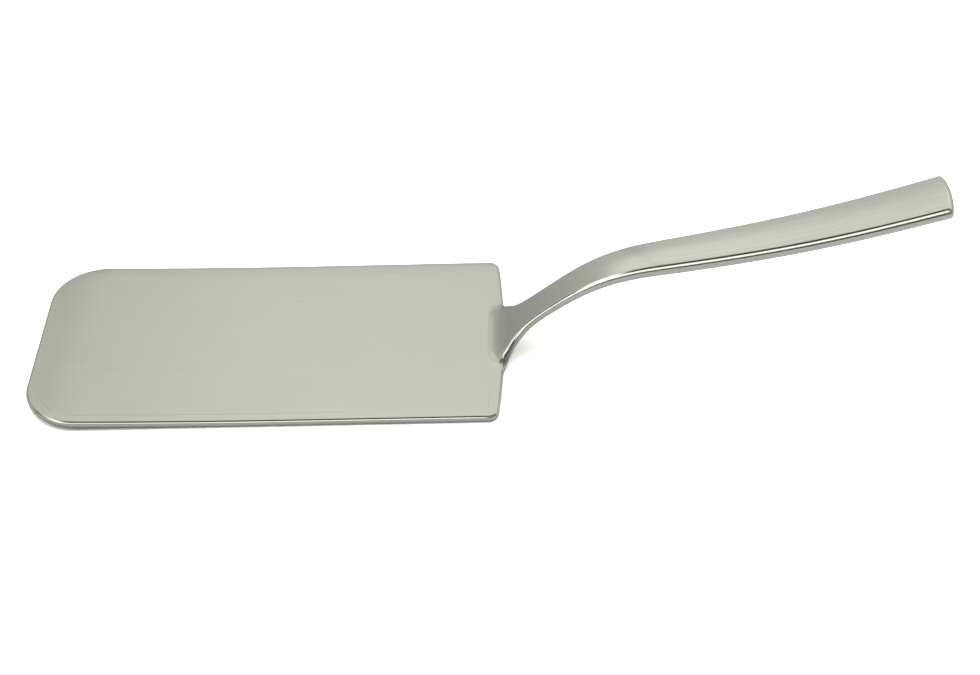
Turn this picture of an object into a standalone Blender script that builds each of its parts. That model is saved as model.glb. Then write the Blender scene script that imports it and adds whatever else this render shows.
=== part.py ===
# Pizza server in polished stainless steel: a pressed blade, a forged handle
# whose foot is let into the blade's rear edge, and the weld that joins them.
#
# +X runs from the blade to the handle's end, +Y across, +Z up. The origin lies
# on the table, on the blade's flat underside below the server's balance point.
import math

import bmesh
import bpy

# Blade
BLADE_LENGTH = 0.140
BLADE_WIDTH = 0.0726
BLADE_THICKNESS = 0.0023
FRONT_CORNER_RADIUS = 0.0166
REAR_CORNER_RADIUS = 0.0034
REAR_EDGE_BOW = 0.00156
BLADE_FLAT_RUN = 0.055          # level stretch, from the rear edge forwards
NOSE_LIFT = 0.00137             # the front edge curves up this much
REAR_EDGE_X = 0.038             # rear edge behind the balance point

# Foot of the handle, let into a notch in the blade's rear edge
FOOT_DEPTH = 0.0042             # reach in front of the rear edge's corners
FOOT_FRONT_HALF = 0.0122
FOOT_CORNER_RADIUS = 0.0030
FOOT_REAR_RUN = 0.0056          # from the foot's front back to its widest place
FOOT_BLEND = 0.0042             # the foot's top sinks to the blade over this width
EAR_RADIUS = 0.0005

# Weld round the foot
WELD_WIDTH = 0.0010
WELD_TOE_RUN = 0.0018           # the weld's fillet reaches this far up the neck
WELD_TOE_WIDTH = 0.0004
WELD_TOE_SINK_SHARE = 0.4       # of the thickness, at the toe's top and underside
JOINT_GAP = 0.0003

# Plan of the handle
WAIST_BASE_HALF = 0.0048
FLARE_HALF = 0.0091             # what the flare adds at the foot's widest place
FLARE_FADE = 0.0043
END_HALF = 0.0088
END_BULGE = 0.0012
END_CORNER_RADIUS = 0.0013
WIDENING_EASE_SHARE = 0.32

# Side view of the handle: each bend's run along the top and slope at its end
HEEL_RUN = 0.0078
NECK_RUN = 0.0170
SHOULDER_RUN = 0.0381
GRIP_RUN = 0.0829
HEEL_SLOPE = math.radians(47.1)
NECK_SLOPE = math.radians(38.3)
SHOULDER_SLOPE = math.radians(10.2)
GRIP_SLOPE = math.radians(17.9)
LEAD_SHARE = 0.5                # how far the heel bend runs ahead of an even one

# Thickness of the handle, which swells from the blade's to the grip's
GRIP_THICKNESS = 0.0035
SWELL_START = 0.0020
SWELL_RUN = 0.0700
CROWN_HEIGHT = 0.0006
CROWN_START = 0.0200
CROWN_RUN = 0.0400

# Edges, polished round like half an ellipse
RIM_INSET = 0.0009
RIM_HEIGHT_SHARE = 0.46         # of the thickness
EDGE_BREAK = 0.00012            # edges that face the weld are only deburred
RIM_RUNIN = 0.0030

# Fineness
RIM_STEPS = 4
CORNER_STEPS = 10
SMALL_CORNER_STEPS = 5
FLANK_STEPS = 4
TOE_STEPS = 5
REAR_EDGE_STEPS = 8
END_ARC_STEPS = 8
NOSE_CUTS = 14
BEND_STEPS = (14, 10, 20, 16)
PATH_STEPS = 1200
COLUMN_PITCH = 0.0025


def ease(t):
    t = min(max(t, 0.0), 1.0)
    return t * t * (3 - 2 * t)


def at_once(t):
    """A change that is quickest at its start, as a bend over a tool's round edge is."""
    t = min(max(t, 0.0), 1.0)
    return t + LEAD_SHARE * t * (1 - t)


BENDS = (
    (HEEL_RUN, HEEL_SLOPE, at_once),
    (NECK_RUN, NECK_SLOPE, ease),
    (SHOULDER_RUN, SHOULDER_SLOPE, ease),
    (GRIP_RUN, GRIP_SLOPE, ease),
)
HANDLE_RUN = sum(bend[0] for bend in BENDS)
FOOT_FRONT_X = REAR_EDGE_X - FOOT_DEPTH


def slope_at(s):
    """Slope of the handle's top line at run s from the foot's front."""
    slope = start = before = 0.0
    for run, after, turned in BENDS:
        slope += (after - before) * turned((s - start) / run)
        start += run
        before = after
    return slope


def walk_top_line():
    """Points of the top line, one per small step of run."""
    step = HANDLE_RUN / PATH_STEPS
    x, z = FOOT_FRONT_X, BLADE_THICKNESS
    points = [(x, z)]
    for i in range(PATH_STEPS):
        slope = slope_at(step * (i + 0.5))
        x += step * math.cos(slope)
        z += step * math.sin(slope)
        points.append((x, z))
    return points


TOP_LINE = walk_top_line()


def top_line(s):
    """Point of the top line at run s, which is level in front of the foot."""
    if s < 0:
        return FOOT_FRONT_X + s, BLADE_THICKNESS
    place = min(s / HANDLE_RUN, 1.0) * PATH_STEPS
    i = min(int(place), PATH_STEPS - 1)
    share = place - i
    (x0, z0), (x1, z1) = TOP_LINE[i], TOP_LINE[i + 1]
    return x0 + (x1 - x0) * share, z0 + (z1 - z0) * share


def rear_edge_x(y):
    """The blade's rear edge, bowed outwards between its corners."""
    share = y / (BLADE_WIDTH / 2 - REAR_CORNER_RADIUS)
    return REAR_EDGE_X + REAR_EDGE_BOW * max(1 - share * share, 0.0)


def half_width(s):
    """Half the handle's width at run s, behind the foot."""
    share = s / HANDLE_RUN
    widening = share + WIDENING_EASE_SHARE * share * (1 - share)
    flare = FLARE_HALF * math.exp((FOOT_REAR_RUN - s) / FLARE_FADE)
    return WAIST_BASE_HALF + flare + (END_HALF - WAIST_BASE_HALF) * widening


def flank_half(s):
    """The foot's flank, where its top has come down to the blade, kept as wide behind it."""
    along = max(min(s, FOOT_REAR_RUN) - FOOT_CORNER_RADIUS, 0.0)
    share = along / (FOOT_REAR_RUN - FOOT_CORNER_RADIUS)
    return FOOT_FRONT_HALF + (half_width(FOOT_REAR_RUN) - FOOT_FRONT_HALF) * share * share


def thickness_at(s):
    swell = ease((s - SWELL_START) / SWELL_RUN)
    return BLADE_THICKNESS + (GRIP_THICKNESS - BLADE_THICKNESS) * swell


def form_handle(s, y, depth_share):
    """Place of a point of the flat blank after it is bent, swelled and crowned."""
    lift = ease((flank_half(s) - abs(y)) / FOOT_BLEND)
    crown = CROWN_HEIGHT * ease((s - CROWN_START) / CROWN_RUN) * (1 - depth_share)
    crown *= 1 - (y / half_width(max(s, FOOT_REAR_RUN))) ** 2
    depth = depth_share * thickness_at(s) - crown
    x, z = top_line(s)
    slope = slope_at(s)
    flat_x = FOOT_FRONT_X + s
    flat_z = BLADE_THICKNESS * (1 - depth_share)
    bent_x = x + depth * math.sin(slope)
    bent_z = z - depth * math.cos(slope)
    return (flat_x + (bent_x - flat_x) * lift, y, flat_z + (bent_z - flat_z) * lift)


def form_blade(x, y, depth_share):
    """Place of a point of the flat blade after its nose is curved up."""
    forward = max(REAR_EDGE_X - BLADE_FLAT_RUN - x, 0.0) / (BLADE_LENGTH - BLADE_FLAT_RUN)
    return (x, y, BLADE_THICKNESS * (1 - depth_share) + NOSE_LIFT * forward * forward)


def arc(centre_x, centre_y, radius, start, end, steps):
    """Points of a circular arc, both ends included."""
    points = []
    for i in range(steps + 1):
        angle = start + (end - start) * i / steps
        points.append((centre_x + radius * math.cos(angle), centre_y + radius * math.sin(angle)))
    return points


def foot_side(offset):
    """The +Y side of the foot's outline, moved outwards, from its front to near its rear."""
    points = arc(FOOT_CORNER_RADIUS, FOOT_FRONT_HALF - FOOT_CORNER_RADIUS,
                 FOOT_CORNER_RADIUS + offset, math.pi, math.pi / 2, SMALL_CORNER_STEPS)
    flank_run = FOOT_REAR_RUN - FOOT_CORNER_RADIUS
    for i in range(1, FLANK_STEPS):
        s = FOOT_CORNER_RADIUS + flank_run * i / FLANK_STEPS
        points.append((s, flank_half(s) + offset))
    return points


def mirrored(half):
    """A closed outline from its +Y half, which runs from the front to the rear."""
    return half + [(x, -y) for x, y in reversed(half)]


def blade_outline():
    half = BLADE_WIDTH / 2
    front_x = REAR_EDGE_X - BLADE_LENGTH
    outer = arc(front_x + FRONT_CORNER_RADIUS, half - FRONT_CORNER_RADIUS, FRONT_CORNER_RADIUS,
                math.pi, math.pi / 2, CORNER_STEPS)
    outer += arc(REAR_EDGE_X - REAR_CORNER_RADIUS, half - REAR_CORNER_RADIUS, REAR_CORNER_RADIUS,
                 math.pi / 2, 0, SMALL_CORNER_STEPS)
    offset = JOINT_GAP + WELD_WIDTH + JOINT_GAP
    notch_half = half_width(FOOT_REAR_RUN) + offset
    beside_notch = notch_half + RIM_INSET
    straight = half - REAR_CORNER_RADIUS - beside_notch
    for i in range(1, REAR_EDGE_STEPS + 1):
        y = beside_notch + straight * (1 - i / REAR_EDGE_STEPS)
        outer.append((rear_edge_x(y), y))
    outer.append((rear_edge_x(notch_half), notch_half))
    notch = [(FOOT_FRONT_X + s, y) for s, y in reversed(foot_side(offset))]
    rims = [(RIM_INSET, RIM_HEIGHT_SHARE * BLADE_THICKNESS)] * (len(outer) - 1)
    rims += [(EDGE_BREAK, EDGE_BREAK)] * (len(notch) + 1)
    return outer + notch, rims


def handle_outline():
    half = foot_side(0.0)
    half.append((FOOT_REAR_RUN - EAR_RADIUS, flank_half(FOOT_REAR_RUN - EAR_RADIUS)))
    half.append((FOOT_REAR_RUN + EAR_RADIUS, half_width(FOOT_REAR_RUN + EAR_RADIUS)))
    radius = (END_HALF ** 2 + END_BULGE ** 2) / (2 * END_BULGE)
    across = END_HALF - END_CORNER_RADIUS
    along = math.sqrt((radius - END_CORNER_RADIUS) ** 2 - across ** 2)
    corner_s = HANDLE_RUN - radius + along
    turn = math.atan2(across, along)
    for s in stations():
        if FOOT_REAR_RUN + EAR_RADIUS < s < corner_s - END_CORNER_RADIUS:
            half.append((s, half_width(s)))
    half += arc(corner_s, half_width(corner_s) - END_CORNER_RADIUS, END_CORNER_RADIUS,
                math.pi / 2, turn, SMALL_CORNER_STEPS)
    half += arc(HANDLE_RUN - radius, 0.0, radius, turn, 0.0, END_ARC_STEPS)[1:-1]
    return half, [handle_rim(s) for s, y in half]


def handle_rim(s):
    """Inset and height of the handle's rounded edge, which runs in behind the weld."""
    runin = ease((s - FOOT_REAR_RUN) / RIM_RUNIN)
    inset = EDGE_BREAK + (RIM_INSET - EDGE_BREAK) * runin
    height = EDGE_BREAK + (RIM_HEIGHT_SHARE * GRIP_THICKNESS - EDGE_BREAK) * runin
    return inset, height


def stations():
    """Runs at which the handle is divided, closer in the tight bends."""
    places = []
    start = 0.0
    for (run, slope, turned), steps in zip(BENDS, BEND_STEPS):
        places += [start + run * i / steps for i in range(1, steps + 1)]
        start += run
    return places


def outward_normals(outline):
    """Unit normals of a clockwise outline, seen from above."""
    normals = []
    for i, (x, y) in enumerate(outline):
        x0, y0 = outline[i - 1]
        x1, y1 = outline[(i + 1) % len(outline)]
        length = math.hypot(x1 - x0, y1 - y0)
        normals.append(((y0 - y1) / length, (x1 - x0) / length))
    return normals


def plate(outline, rims, thickness, cuts, form):
    """A flat blank with rounded edges, divided along the cuts, then formed."""
    bm = bmesh.new()
    normals = outward_normals(outline)
    levels = [(math.pi / 2 * i / RIM_STEPS, 0) for i in range(RIM_STEPS + 1)]
    levels += [(angle, 1) for angle, side in reversed(levels)]
    rings = []
    for angle, side in levels:
        ring = []
        for (x, y), (nx, ny), (rim_inset, rim_height) in zip(outline, normals, rims):
            inset = rim_inset * (1 - math.sin(angle))
            down = rim_height * (1 - math.cos(angle))
            share = (thickness - down) / thickness if side else down / thickness
            ring.append(bm.verts.new((x - nx * inset, y - ny * inset, -share * thickness)))
        rings.append(ring)
    bm.faces.new(list(reversed(rings[0])))
    bm.faces.new(rings[-1])
    count = len(outline)
    for upper, lower in zip(rings, rings[1:]):
        for i in range(count):
            j = (i + 1) % count
            bm.faces.new((upper[i], upper[j], lower[j], lower[i]))
    for place, direction in cuts:
        geometry = bm.verts[:] + bm.edges[:] + bm.faces[:]
        bmesh.ops.bisect_plane(bm, geom=geometry, plane_co=place, plane_no=direction)
    bmesh.ops.triangulate(bm, faces=bm.faces[:])
    for vertex in bm.verts:
        x, y, z = vertex.co
        vertex.co = form(x, y, -z / thickness)
    return bm


def steel(name, colour, roughness):
    material = bpy.data.materials.new(name)
    material.use_nodes = True
    shader = material.node_tree.nodes["Principled BSDF"]
    shader.inputs["Base Color"].default_value = (*colour, 1.0)
    shader.inputs["Metallic"].default_value = 1.0
    shader.inputs["Roughness"].default_value = roughness
    return material


def add_object(name, bm, material):
    bmesh.ops.recalc_face_normals(bm, faces=bm.faces[:])
    mesh = bpy.data.meshes.new(name)
    bm.to_mesh(mesh)
    bm.free()
    mesh.materials.append(material)
    mesh.shade_smooth()
    mesh.set_sharp_from_angle(angle=math.radians(35))
    item = bpy.data.objects.new(name, mesh)
    bpy.context.scene.collection.objects.link(item)
    return item


def make_blade():
    half, rims = blade_outline()
    front_x = REAR_EDGE_X - BLADE_LENGTH
    cuts = []
    for i in range(NOSE_CUTS):
        x = REAR_EDGE_X - BLADE_FLAT_RUN + (front_x - REAR_EDGE_X + BLADE_FLAT_RUN) * i / NOSE_CUTS
        cuts.append(((x, 0.0, 0.0), (1.0, 0.0, 0.0)))
    bm = plate(mirrored(half), rims + rims[::-1], BLADE_THICKNESS, cuts, form_blade)
    return add_object("blade", bm, steel("polished_blade_steel", (0.62, 0.63, 0.58), 0.16))


def make_handle():
    half, rims = handle_outline()
    cuts = [((s, 0.0, 0.0), (1.0, 0.0, 0.0)) for s in stations()[:-1]]
    columns = int(flank_half(FOOT_REAR_RUN) / COLUMN_PITCH)
    for i in range(-columns, columns + 1):
        cuts.append(((0.0, COLUMN_PITCH * i, 0.0), (0.0, 1.0, 0.0)))
    bm = plate(mirrored(half), rims + rims[::-1], GRIP_THICKNESS, cuts, form_handle)
    return add_object("handle", bm, steel("polished_handle_steel", (0.60, 0.61, 0.57), 0.18))


def weld_sections():
    """Outer and inner points of the weld's +Y half and the share its faces sink there."""
    sections = []
    for outer, inner in zip(foot_side(JOINT_GAP + WELD_WIDTH), foot_side(JOINT_GAP)):
        sections.append((outer, inner, 0.0))
    flare_gap = JOINT_GAP * math.hypot(1, FLARE_HALF / FLARE_FADE)
    start_y = half_width(FOOT_REAR_RUN) + JOINT_GAP + WELD_WIDTH
    start_s = rear_edge_x(start_y) - FOOT_FRONT_X
    end_s = FOOT_REAR_RUN + WELD_TOE_RUN
    for i in range(TOE_STEPS + 1):
        share = i / TOE_STEPS
        inner_s = FOOT_REAR_RUN + WELD_TOE_RUN * share
        inner_y = half_width(inner_s) + flare_gap
        outer_s = start_s + (end_s - start_s) * share * share
        outer_y = inner_y + WELD_TOE_WIDTH + (start_y - inner_y - WELD_TOE_WIDTH) * (1 - share) ** 2
        sections.append(((outer_s, outer_y), (inner_s, inner_y), WELD_TOE_SINK_SHARE * share))
    return sections


def make_weld():
    half = weld_sections()
    mirror = [((a, -b), (c, -d), sink) for (a, b), (c, d), sink in reversed(half)]
    bm = bmesh.new()
    rings = []
    for outer, inner, sink in mirror + half:
        corners = ((outer, sink), (inner, sink), (inner, 1 - sink), (outer, 1 - sink))
        rings.append([bm.verts.new(form_handle(s, y, share)) for (s, y), share in corners])
    for before, after in zip(rings, rings[1:]):
        for i in range(4):
            j = (i + 1) % 4
            bm.faces.new((before[i], before[j], after[j], after[i]))
    bm.faces.new(rings[0])
    bm.faces.new(list(reversed(rings[-1])))
    bmesh.ops.triangulate(bm, faces=bm.faces[:])
    return add_object("weld_seam", bm, steel("ground_weld_steel", (0.55, 0.56, 0.53), 0.25))


def main():
    for item in list(bpy.data.objects):
        bpy.data.objects.remove(item, do_unlink=True)
    make_blade()
    make_handle()
    make_weld()


main()
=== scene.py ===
import math

import bmesh
import bpy
from mathutils import Matrix, Vector
from mathutils.geometry import delaunay_2d_cdt
from mathutils.kdtree import KDTree


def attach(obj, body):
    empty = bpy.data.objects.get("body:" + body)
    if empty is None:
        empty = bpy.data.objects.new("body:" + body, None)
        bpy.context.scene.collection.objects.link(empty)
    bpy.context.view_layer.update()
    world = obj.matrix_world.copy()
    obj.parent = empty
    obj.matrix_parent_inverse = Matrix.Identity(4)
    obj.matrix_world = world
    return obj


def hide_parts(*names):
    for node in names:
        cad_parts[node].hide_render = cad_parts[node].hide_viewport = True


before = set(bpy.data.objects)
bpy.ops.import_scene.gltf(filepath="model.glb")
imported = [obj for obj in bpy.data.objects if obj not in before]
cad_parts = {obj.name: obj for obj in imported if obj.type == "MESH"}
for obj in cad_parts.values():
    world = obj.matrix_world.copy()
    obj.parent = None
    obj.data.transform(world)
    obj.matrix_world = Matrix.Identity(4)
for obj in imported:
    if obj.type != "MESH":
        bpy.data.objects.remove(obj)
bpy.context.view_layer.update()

# Sizes of the server, in metres, as the construction has them
BLADE_LENGTH = 0.140
BLADE_WIDTH = 0.0726
BLADE_THICKNESS = 0.0023
FRONT_CORNER_RADIUS = 0.0166
REAR_CORNER_RADIUS = 0.0034
REAR_EDGE_BOW = 0.00156
BLADE_FLAT_RUN = 0.055
NOSE_LIFT = 0.00137
REAR_EDGE_X = 0.038
FOOT_DEPTH = 0.0042
FOOT_FRONT_HALF = 0.0122
FOOT_CORNER_RADIUS = 0.0030
FOOT_REAR_RUN = 0.0056
FOOT_BLEND = 0.0070             # softer than the bare construction, as ground and polished
FOOT_SPREAD = 0.0022            # the foot's rise begins this far outside its seam
WELD_BAND = 0.0016              # the weld and the two hairline gaps beside it
FILLET_RADIUS = 0.0020          # in the corner between the rear edge and the neck
WAIST_BASE_HALF = 0.0048
FLARE_HALF = 0.0091
FLARE_FADE = 0.0043
END_HALF = 0.0088
END_BULGE = 0.0012
END_CORNER_RADIUS = 0.0013
WIDENING_EASE_SHARE = 0.32
HEEL_RUN = 0.0078
NECK_RUN = 0.0170
SHOULDER_RUN = 0.0381
GRIP_RUN = 0.0828               # a hair short, so that the skin stays in the solid's bounds
HEEL_SLOPE = math.radians(47.1)
NECK_SLOPE = math.radians(38.3)
SHOULDER_SLOPE = math.radians(10.2)
GRIP_SLOPE = math.radians(17.9)
LEAD_SHARE = 0.5                # how far the heel bend runs ahead of an even one
GRIP_THICKNESS = 0.0035
SWELL_START = 0.0020
SWELL_RUN = 0.0700
CROWN_HEIGHT = 0.0006
CROWN_START = 0.0200
CROWN_RUN = 0.0400
BLADE_RIM_INSET = 0.00090       # how far the edges' rounding reaches inwards
HANDLE_RIM_INSET = 0.00120
LOWER_RIM_INSET = 0.00080
RIM_CHANGE_RUN = 0.0300
RIM_HEIGHT_SHARE = 0.46         # of the thickness

# Edge ground down beside the weld, from the foot's rear up the neck
GROUND_START = 0.0056
GROUND_END = 0.0140
GROUND_FADE = 0.0012
GROUND_HALF = 0.0165
GROUND_RIM_MORE = 0.0009        # the edge's rounding is this much wider there
GROUND_FLAT_SHARE = 0.2         # and this far on its way to a flat chamfer

# Fineness of the skin
RIM_STEPS = 10
FRONT_CORNER_STEPS = 26
SMALL_CORNER_STEPS = 10
FILLET_STEPS = 12
FILLET_SEAM_STEP = 3            # where the weld's outer seam meets the outline
FOOT_LINE_STEP = 6              # where the foot's seam meets the rounded edge
END_ARC_STEPS = 14
FLANK_STEPS = 8
PATH_STEPS = 1200
BLADE_PITCH = 0.0015
NECK_PITCH = 0.0004
GRIP_PITCH = 0.0010
COLUMNS = 28
FOOT_MARGIN = 0.0025            # the fine mesh goes this far past the weld
LATTICE_CLEAR_SHARE = 0.6       # of the pitch, from the lattice to the nearest line
MERGE_DISTANCE = 1e-9
MERGE_DIGITS = 9                # points that agree so far, in metres, are the same


def ease(t):
    t = min(max(t, 0.0), 1.0)
    return t * t * (3 - 2 * t)


def at_once(t):
    """A change that is quickest at its start, as a bend over a tool's round edge is."""
    t = min(max(t, 0.0), 1.0)
    return t + LEAD_SHARE * t * (1 - t)


BENDS = (
    (HEEL_RUN, HEEL_SLOPE, at_once),
    (NECK_RUN, NECK_SLOPE, ease),
    (SHOULDER_RUN, SHOULDER_SLOPE, ease),
    (GRIP_RUN, GRIP_SLOPE, ease),
)
HANDLE_RUN = sum(bend[0] for bend in BENDS)
FOOT_FRONT_X = REAR_EDGE_X - FOOT_DEPTH
BLADE_FRONT_RUN = FOOT_DEPTH - BLADE_LENGTH
BLADE_HALF = BLADE_WIDTH / 2

BLADE, WELD, HANDLE = 0, 1, 2


def slope_at(s):
    """Slope of the handle's top line at run s from the foot's front."""
    slope = start = before = 0.0
    for run, after, turned in BENDS:
        slope += (after - before) * turned((s - start) / run)
        start += run
        before = after
    return slope


def rear_edge(y):
    """Run of the blade's rear edge, bowed outwards between its corners."""
    share = y / (BLADE_HALF - REAR_CORNER_RADIUS)
    return FOOT_DEPTH + REAR_EDGE_BOW * max(1 - share * share, 0.0)


def half_width(s):
    """Half the handle's width at run s, behind the foot."""
    share = s / HANDLE_RUN
    widening = share + WIDENING_EASE_SHARE * share * (1 - share)
    flare = FLARE_HALF * math.exp((FOOT_REAR_RUN - s) / FLARE_FADE)
    return WAIST_BASE_HALF + flare + (END_HALF - WAIST_BASE_HALF) * widening


def flank_half(s):
    """Half the foot's width at run s, kept as wide behind it."""
    along = max(min(s, FOOT_REAR_RUN) - FOOT_CORNER_RADIUS, 0.0)
    share = along / (FOOT_REAR_RUN - FOOT_CORNER_RADIUS)
    return FOOT_FRONT_HALF + (half_width(FOOT_REAR_RUN) - FOOT_FRONT_HALF) * share * share


def thickness_at(s):
    return BLADE_THICKNESS + (GRIP_THICKNESS - BLADE_THICKNESS) * ease((s - SWELL_START) / SWELL_RUN)


def rim_inset(s):
    """How far the rounded edge reaches inwards."""
    change = ease(s / RIM_CHANGE_RUN)
    return BLADE_RIM_INSET + (HANDLE_RIM_INSET - BLADE_RIM_INSET) * change


def ground_share(s, y):
    """How far the edge is ground down beside the weld, from 0 to 1."""
    begun = ease((s - GROUND_START) / GROUND_FADE)
    ended = ease((GROUND_END - s) / (GROUND_END - GROUND_START))
    return begun * ended * ease((GROUND_HALF - abs(y)) / GROUND_FADE)


def arc(centre_s, centre_y, radius, start, end, steps):
    """Points of a circular arc, both ends included."""
    points = []
    for i in range(steps + 1):
        angle = start + (end - start) * i / steps
        points.append((centre_s + radius * math.cos(angle), centre_y + radius * math.sin(angle)))
    return points


def divided(start, end, pitch):
    """Evenly spaced values from start to end, both left out."""
    count = max(round(abs(end - start) / pitch), 1)
    return [start + (end - start) * i / count for i in range(1, count)]


def blank_outline():
    """The +Y half of the blank's outline, and where the seams meet it."""
    front_s = BLADE_FRONT_RUN + FRONT_CORNER_RADIUS
    rear_s = FOOT_DEPTH - REAR_CORNER_RADIUS
    half = [(BLADE_FRONT_RUN, y)
            for y in divided(0.0, BLADE_HALF - FRONT_CORNER_RADIUS, BLADE_PITCH)]
    half += arc(front_s, BLADE_HALF - FRONT_CORNER_RADIUS, FRONT_CORNER_RADIUS,
                math.pi, math.pi / 2, FRONT_CORNER_STEPS)
    half += [(s, BLADE_HALF) for s in divided(front_s, rear_s, BLADE_PITCH)]
    half += arc(rear_s, BLADE_HALF - REAR_CORNER_RADIUS, REAR_CORNER_RADIUS,
                math.pi / 2, 0.0, SMALL_CORNER_STEPS)
    fillet_s = rear_edge(half_width(FOOT_REAR_RUN) + FILLET_RADIUS)
    fillet_y = half_width(fillet_s) + FILLET_RADIUS
    half += [(rear_edge(y), y)
             for y in divided(BLADE_HALF - REAR_CORNER_RADIUS, fillet_y, BLADE_PITCH)]
    fillet_start = len(half)
    for i in range(FILLET_STEPS + 1):
        turn = math.pi / 2 * i / FILLET_STEPS
        s = fillet_s + FILLET_RADIUS * (1 - math.cos(turn))
        half.append((s, half_width(s) + FILLET_RADIUS * (1 - math.sin(turn))))
    toe = len(half) - 1
    radius = (END_HALF ** 2 + END_BULGE ** 2) / (2 * END_BULGE)
    across = END_HALF - END_CORNER_RADIUS
    along = math.sqrt((radius - END_CORNER_RADIUS) ** 2 - across ** 2)
    corner_s = HANDLE_RUN - radius + along
    turn = math.atan2(across, along)
    s = half[toe][0] + NECK_PITCH
    while s < corner_s - GRIP_PITCH / 2:
        half.append((s, half_width(s)))
        s += NECK_PITCH + (GRIP_PITCH - NECK_PITCH) * ease((s - HEEL_RUN - NECK_RUN) / SHOULDER_RUN)
    half += arc(corner_s, half_width(corner_s) - END_CORNER_RADIUS, END_CORNER_RADIUS,
                math.pi / 2, turn, SMALL_CORNER_STEPS)
    half += arc(HANDLE_RUN - radius, 0.0, radius, turn, 0.0, END_ARC_STEPS)[1:-1]
    marks = {"seam": fillet_start + FILLET_SEAM_STEP, "foot": fillet_start + FOOT_LINE_STEP,
             "toe": toe}
    return half, marks


def foot_line(offset):
    """The +Y side of the foot's outline, moved outwards, from its front to its flank."""
    points = [(-offset, y) for y in divided(0.0, FOOT_FRONT_HALF - FOOT_CORNER_RADIUS, NECK_PITCH)]
    points += arc(FOOT_CORNER_RADIUS, FOOT_FRONT_HALF - FOOT_CORNER_RADIUS,
                  FOOT_CORNER_RADIUS + offset, math.pi, math.pi / 2, SMALL_CORNER_STEPS)
    flank_run = FOOT_REAR_RUN - FOOT_CORNER_RADIUS
    for i in range(1, FLANK_STEPS + 1):
        s = FOOT_CORNER_RADIUS + flank_run * i / FLANK_STEPS
        points.append((s, flank_half(s) + offset))
    return points


def mirrored(half):
    """A closed outline from its +Y half, which runs from the front to the rear."""
    return half + [(s, -y) for s, y in reversed(half)]


def outward_normals(outline):
    """Unit normals of a clockwise outline, seen from above."""
    normals = []
    for i in range(len(outline)):
        s0, y0 = outline[i - 1]
        s1, y1 = outline[(i + 1) % len(outline)]
        length = math.hypot(s1 - s0, y1 - y0)
        normals.append(((y0 - y1) / length, (s1 - s0) / length))
    return normals


def inside(polygon, s, y):
    """Whether a point lies inside a closed outline."""
    crossings = 0
    for (s0, y0), (s1, y1) in zip(polygon, polygon[1:] + polygon[:1]):
        if (y0 > y) != (y1 > y) and s < s0 + (s1 - s0) * (y - y0) / (y1 - y0):
            crossings += 1
    return crossings % 2 == 1


def nearest_finder(points):
    """A search tree over flat points."""
    tree = KDTree(len(points))
    for i, (s, y) in enumerate(points):
        tree.insert((s, y, 0.0), i)
    tree.balance()
    return tree


def lattice(pitch, start, end, half, polygon, lines, left_out=None):
    """Points on a square lattice inside the polygon, clear of the lines."""
    tree = nearest_finder(lines)
    clear = pitch * LATTICE_CLEAR_SHARE
    columns = int(half / pitch)
    points = []
    s = end
    while s > start:
        for j in range(-columns, columns + 1):
            y = j * pitch
            if left_out and left_out(s, y):
                continue
            if tree.find((s, y, 0.0))[2] > clear and inside(polygon, s, y):
                points.append((s, y))
        s -= pitch
    return points


class Skin:
    """Vertices of the flat blank with what the bending needs to know of each."""

    def __init__(self):
        self.points = []
        self.edges = []
        self.faces = []
        self.pieces = []

    def vertex(self, s, y, side, rounding=0.0, edge=0.0):
        self.points.append((s, y, side, rounding))
        self.edges.append(edge)
        return len(self.points) - 1

    def face(self, corners, piece):
        self.faces.append(corners)
        self.pieces.append(piece)


def seam_line(offset, end):
    """A seam's whole run round the foot, between its two ends on the rounded edge."""
    half = [p for p in foot_line(offset) if p[0] < end[0] - NECK_PITCH / 2]
    return [(s, -y) for s, y in reversed(half)] + half


def top_surface(inner, marks, toe_row):
    """Flat triangles of the blade, the weld and the foot: points, faces and their pieces."""
    side = inner[:marks["toe"] + 1]
    whole = side + toe_row[1:-1] + mirrored(side)[len(side):]
    points = list(whole)
    index = {p: i for i, p in enumerate(points)}
    regions = [list(range(len(whole)))]
    for mark, offset in (("seam", WELD_BAND), ("foot", 0.0)):
        behind = inner[marks[mark]:marks["toe"] + 1]
        ring = seam_line(offset, behind[0]) + behind + toe_row[1:-1] + mirrored(behind)[len(behind):]
        for p in ring:
            if p not in index:
                index[p] = len(points)
                points.append(p)
        regions.append([index[p] for p in ring])
    regions = [region[::-1] for region in regions]      # the triangulation wants them anticlockwise
    fixed = list(points)
    pitch = 2 * toe_row[0][1] / (len(toe_row) - 1)
    foot_half = inner[marks["seam"]][1] + FOOT_MARGIN
    foot_start = -WELD_BAND - FOOT_MARGIN

    def near_foot(s, y):
        return s > foot_start - pitch and abs(y) < foot_half + pitch

    points += lattice(pitch, foot_start, toe_row[0][0] - pitch, foot_half, whole, fixed)
    points += lattice(BLADE_PITCH, BLADE_FRONT_RUN, FOOT_DEPTH, BLADE_HALF, whole, fixed, near_foot)
    only_inside = 1             # the triangulation then leaves nothing outside the outline
    made = delaunay_2d_cdt([Vector(p) for p in points], [], regions, only_inside, MERGE_DISTANCE)
    vertices, faces, regions_of_faces = made[0], made[2], made[5]
    return [tuple(v) for v in vertices], faces, [max(found) for found in regions_of_faces]


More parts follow.
